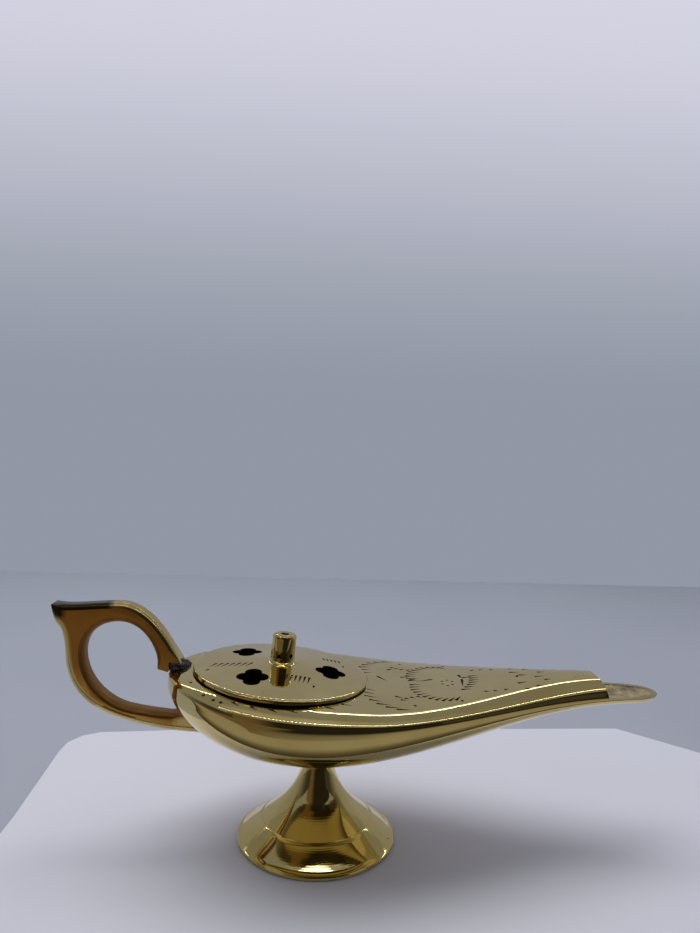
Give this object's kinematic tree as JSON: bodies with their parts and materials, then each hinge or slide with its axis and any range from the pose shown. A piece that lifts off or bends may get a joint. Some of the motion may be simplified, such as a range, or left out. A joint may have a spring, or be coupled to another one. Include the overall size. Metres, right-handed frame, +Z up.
{
  "type": "incense burner",
  "caption": "Polished brass incense burner shaped like an oil lamp, with a flared foot, loop handle, open spout and a loose pierced lid whose knob holds a stick.",
  "frame": {"origin": "middle of the overall length, on the middle plane, at the height of the surface the foot stands on", "axes": "+X from the handle towards the spout, +Y to the left when looking along the spout, +Z up"},
  "size_m": [0.1794, 0.0626, 0.0684],
  "materials": {
    "polished_brass": "mirror polished, unlacquered",
    "browned_brass": "polished, lightly browned",
    "burnt_braze": "scorched, as brazed",
    "plain_steel": "bright, unplated"
  },
  "bodies": {
    "lamp": {"foot": "polished_brass", "foot_bolt": "plain_steel", "foot_washer": "plain_steel", "foot_nut": "plain_steel", "bowl_shell": "polished_brass", "deck_shell": "polished_brass", "handle": "browned_brass", "handle_braze_top": "burnt_braze", "handle_braze_bottom": "burnt_braze"},
    "lid": {"lid": "polished_brass", "lid_collar": "polished_brass", "knob": "polished_brass", "knob_nut": "plain_steel"}
  },
  "joints": [
    {"name": "lid_lift", "type": "slide", "parent": "lamp", "child": "lid", "axis": [0.076, 0, 0.9971], "range_m": [0, 0.045]}
  ]
}
